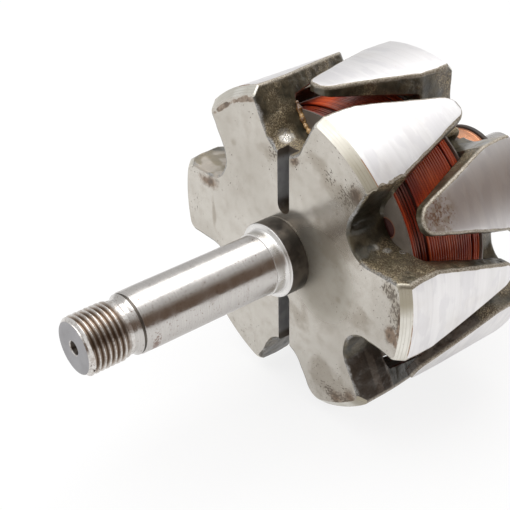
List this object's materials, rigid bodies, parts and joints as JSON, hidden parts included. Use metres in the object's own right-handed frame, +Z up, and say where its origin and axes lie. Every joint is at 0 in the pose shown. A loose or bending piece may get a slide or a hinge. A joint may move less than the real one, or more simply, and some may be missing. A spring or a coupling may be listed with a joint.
{
  "type": "alternator rotor",
  "caption": "Claw-pole alternator rotor with threaded shaft, interlocking pole fingers, copper field winding and slip rings.",
  "frame": {"origin": "on the shaft axis, where the drive-end bearing seat meets its shoulder", "axes": "+Y along the shaft from the threaded end to the slip-ring end, +Z up with the rotor lying on its pole fingers and the drive pole's groove upright"},
  "size_m": [0.094, 0.1581, 0.094],
  "materials": {
    "turned_steel": "fine turned and polished",
    "pole_steel": "forged, faced and ground, with small rust marks",
    "core_iron": "machined soft iron",
    "bobbin_board": "varnished insulating board",
    "enamelled_copper": "enamelled copper wire",
    "moulding_resin": "moulded dark resin",
    "ring_copper": "turned copper with a brush track",
    "terminal_brass": "tinned brass",
    "lead_sleeving": "varnished glass sleeving"
  },
  "bodies": {
    "root": {"shaft": "turned_steel", "drive_claw_pole": "pole_steel", "rear_claw_pole": "pole_steel", "pole_core": "core_iron", "bobbin_tube": "bobbin_board", "drive_bobbin_flange": "bobbin_board", "rear_bobbin_flange": "bobbin_board", "field_winding": "enamelled_copper", "slip_ring_moulding": "moulding_resin", "inner_slip_ring": "ring_copper", "outer_slip_ring": "ring_copper", "start_terminal": "terminal_brass", "finish_terminal": "terminal_brass", "start_lead": "enamelled_copper", "finish_lead": "enamelled_copper", "start_lead_sleeve": "lead_sleeving", "finish_lead_sleeve": "lead_sleeving"}
  },
  "joints": []
}
